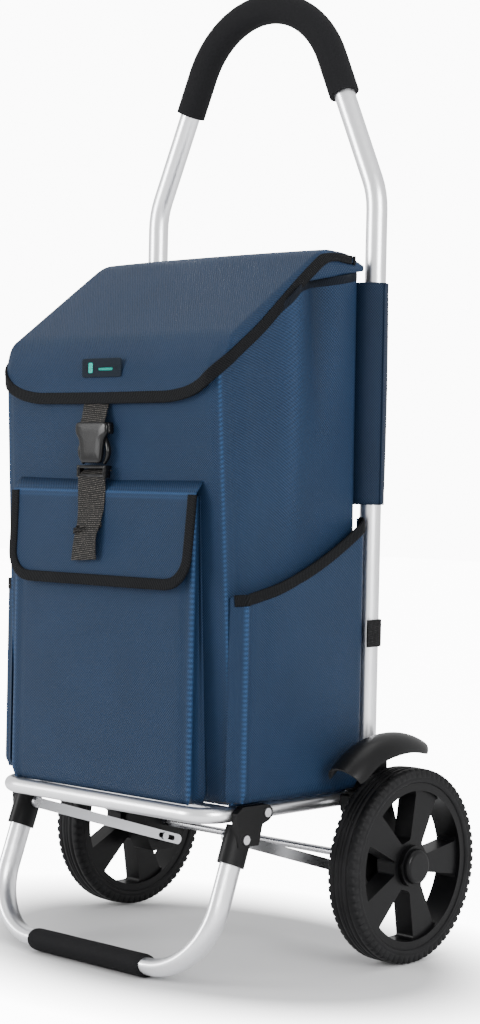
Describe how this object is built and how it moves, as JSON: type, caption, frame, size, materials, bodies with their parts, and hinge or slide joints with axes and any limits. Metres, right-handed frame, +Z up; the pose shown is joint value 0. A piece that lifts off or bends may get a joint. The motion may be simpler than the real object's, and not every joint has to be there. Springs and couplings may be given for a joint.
{
  "type": "shopping trolley",
  "caption": "Folding shopping trolley: lidded fabric bag with pockets on a bent-tube frame with spoked wheels and a hinged front leg.",
  "frame": {"origin": "middle of the trolley's footprint box on the floor", "axes": "+Z up, -Y towards the bag's front and the leg, +X along the axle towards the right-hand wheel"},
  "size_m": [0.4522, 0.3618, 1.015],
  "materials": {
    "bright_aluminium": "bright satin anodised tube",
    "rivet_steel": "plated, domed",
    "axle_steel": "plain ground rod",
    "link_steel": "flat plated bar",
    "foam_grip": "matt black foam",
    "foam_foot": "matt black foam",
    "black_plastic": "moulded black",
    "guard_plastic": "smooth black",
    "cap_plastic": "smooth black",
    "rim_plastic": "moulded black",
    "tyre_rubber": "matt with edge lugs",
    "board_plastic": "stiff base board",
    "bag_fabric": "slate-blue embossed woven fabric",
    "lid_fabric": "slate-blue embossed woven fabric",
    "sleeve_fabric": "slate-blue woven fabric",
    "rim_tape": "dark folded tape",
    "grosgrain": "ribbed black binding",
    "webbing_black": "black webbing",
    "webbing_grey": "dark grey-brown webbing with light threads",
    "patch_fabric": "plain woven teal patch",
    "buckle_plastic": "glossy black"
  },
  "bodies": {
    "frame": {"handle_tube": "bright_aluminium", "handle_grip": "foam_grip", "foot_bracket_left": "black_plastic", "foot_bracket_right": "black_plastic", "foot_rivets": "rivet_steel", "hinge_rivets": "rivet_steel", "slot_pins": "rivet_steel", "axle": "axle_steel", "axle_push_nuts": "rivet_steel", "axle_spacers": "black_plastic", "mudguard_left": "guard_plastic", "mudguard_right": "guard_plastic", "mudguard_screws": "rivet_steel"},
    "wheel_left": {"tyre_left": "tyre_rubber", "rim_left": "rim_plastic", "hub_bush_left": "black_plastic", "hub_cap_left": "cap_plastic"},
    "wheel_right": {"tyre_right": "tyre_rubber", "rim_right": "rim_plastic", "hub_bush_right": "black_plastic", "hub_cap_right": "cap_plastic"},
    "platform": {"platform_tube": "bright_aluminium", "platform_rails": "bright_aluminium"},
    "leg": {"leg_tube": "bright_aluminium", "leg_foot": "foam_foot", "leg_bracket_left": "black_plastic", "leg_bracket_right": "black_plastic", "leg_pivot_rivets": "rivet_steel", "link_rivets": "rivet_steel"},
    "link_left": {"link_left": "link_steel"},
    "link_right": {"link_right": "link_steel"},
    "bag": {"bag_body": "bag_fabric", "bag_board": "board_plastic", "rim_binding": "rim_tape", "front_pocket": "bag_fabric", "side_pocket_left": "bag_fabric", "side_pocket_right": "bag_fabric", "side_binding_left": "grosgrain", "side_binding_right": "grosgrain", "sleeve": "sleeve_fabric", "webbing_loop_left": "webbing_black", "webbing_loop_right": "webbing_black", "flap_root": "bag_fabric", "strap_anchor": "webbing_grey", "strap_tail_upper": "webbing_grey", "buckle_plug": "buckle_plastic"},
    "lid": {"lid": "lid_fabric", "lid_binding": "grosgrain", "lid_patch": "patch_fabric", "strap_upper": "webbing_grey", "buckle_socket": "buckle_plastic"},
    "pocket_flap": {"pocket_flap": "lid_fabric", "flap_binding": "grosgrain", "strap_tail": "webbing_grey"},
    "buckle_arm_left": {"buckle_arm_left": "buckle_plastic"},
    "buckle_arm_right": {"buckle_arm_right": "buckle_plastic"}
  },
  "joints": [
    {"name": "wheel_spin_left", "type": "hinge", "parent": "frame", "child": "wheel_left", "pos_m": [-0.2015, 0.08086, 0.1], "axis": [1, 0, 0], "continuous": true},
    {"name": "wheel_spin_right", "type": "hinge", "parent": "frame", "child": "wheel_right", "pos_m": [0.2015, 0.08086, 0.1], "axis": [1, 0, 0], "continuous": true},
    {"name": "platform_fold", "type": "hinge", "parent": "frame", "child": "platform", "pos_m": [0, 0.03886, 0.166], "axis": [-1, 0, 0], "range_deg": [0, 90]},
    {"name": "leg_fold", "type": "hinge", "parent": "platform", "child": "leg", "pos_m": [0, -0.08814, 0.166], "axis": [-1, 0, 0], "range_deg": [-90, 0]},
    {"name": "link_swing_left", "type": "hinge", "parent": "leg", "child": "link_left", "pos_m": [-0.14, -0.11804, 0.142], "axis": [-1, 0, 0], "range_deg": [0, 53.98]},
    {"name": "link_swing_right", "type": "hinge", "parent": "leg", "child": "link_right", "pos_m": [0.14, -0.11804, 0.142], "axis": [-1, 0, 0], "range_deg": [0, 53.98]},
    {"name": "bag_lift", "type": "slide", "parent": "frame", "child": "bag", "axis": [0, 0, 1], "range_m": [0, 0.3225]},
    {"name": "lid_hinge", "type": "hinge", "parent": "bag", "child": "lid", "pos_m": [0, 0.04736, 0.715], "axis": [-1, 0, 0], "range_deg": [0, 75]},
    {"name": "flap_hinge", "type": "hinge", "parent": "bag", "child": "pocket_flap", "pos_m": [0, -0.16264, 0.478], "axis": [-1, 0, 0], "range_deg": [0, 90]},
    {"name": "buckle_press_left", "type": "hinge", "parent": "bag", "child": "buckle_arm_left", "pos_m": [-0.0266, -0.16314, 0.5043], "axis": [0, 1, 0], "range_deg": [0, 7], "stiffness_Nm_per_rad": 0.05},
    {"name": "buckle_press_right", "type": "hinge", "parent": "bag", "child": "buckle_arm_right", "pos_m": [0.0026, -0.16314, 0.5043], "axis": [0, -1, 0], "range_deg": [0, 7], "stiffness_Nm_per_rad": 0.05}
  ],
  "couplings": [
    {"joint": "leg_fold", "follows": "platform_fold", "ratio": -1},
    {"joint": "link_swing_left", "follows": "platform_fold", "ratio": 0.5975},
    {"joint": "link_swing_right", "follows": "platform_fold", "ratio": 0.5975},
    {"joint": "bag_lift", "follows": "platform_fold", "m_per_rad": 0.205},
    {"joint": "buckle_press_right", "follows": "buckle_press_left", "ratio": 1}
  ]
}
